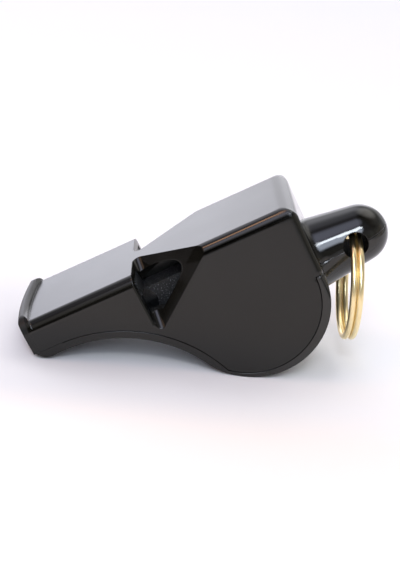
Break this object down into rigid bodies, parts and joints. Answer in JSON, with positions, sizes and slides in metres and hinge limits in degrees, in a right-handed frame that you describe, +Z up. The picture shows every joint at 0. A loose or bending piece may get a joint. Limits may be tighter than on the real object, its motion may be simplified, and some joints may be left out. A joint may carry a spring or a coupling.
{
  "type": "sports whistle",
  "caption": "Pealess sports whistle: flat bowed mouthpiece, oblique side windows, round belly, and a tapered boss that carries a split ring.",
  "frame": {"origin": "middle of the bounding box at its bottom: the table under the whistle, which stands on its lip and its belly", "axes": "+X along the whistle from the mouthpiece to the lanyard boss, +Y across it, +Z up"},
  "size_m": [0.0568, 0.0204, 0.0274],
  "materials": {
    "body_plastic": "satin black moulded ABS, smooth on top, boss polished",
    "cover_plastic": "satin black moulded ABS",
    "core_plastic": "black moulded ABS, sides finely textured",
    "ring_metal": "bright gold-coloured plating"
  },
  "bodies": {
    "whistle": {"upper_body": "body_plastic", "belly_cover": "cover_plastic", "chamber_core": "core_plastic"},
    "ring": {"split_ring": "ring_metal"}
  },
  "joints": [
    {"name": "ring_swing", "type": "hinge", "parent": "whistle", "child": "ring", "pos_m": [0.02282, 0, 0.02117], "axis": [0, 1, 0], "range_deg": [-230, 15]}
  ]
}
